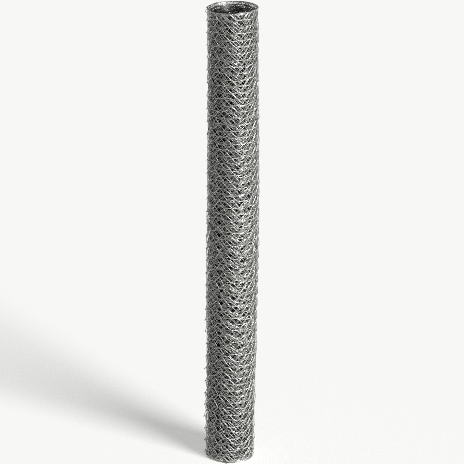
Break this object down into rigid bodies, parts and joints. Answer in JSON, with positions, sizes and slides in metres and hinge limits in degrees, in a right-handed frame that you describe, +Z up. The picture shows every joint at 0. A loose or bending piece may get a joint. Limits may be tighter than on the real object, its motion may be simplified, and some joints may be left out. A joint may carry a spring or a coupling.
{
  "type": "roll of wire netting",
  "caption": "Tight roll of galvanised hexagonal wire netting, wound on itself round an open bore and standing on its end.",
  "frame": {"origin": "centre of the end that the roll stands on, at floor level, on the axis of the bore", "axes": "+Z up along the bore, +X and +Y across the roll; seen from above the netting winds outwards anticlockwise"},
  "size_m": [0.0968, 0.0966, 0.9151],
  "materials": {
    "galvanised_wire": "galvanised, dull grey zinc coat"
  },
  "bodies": {
    "root": {"wire_netting_roll": "galvanised_wire"}
  },
  "joints": []
}
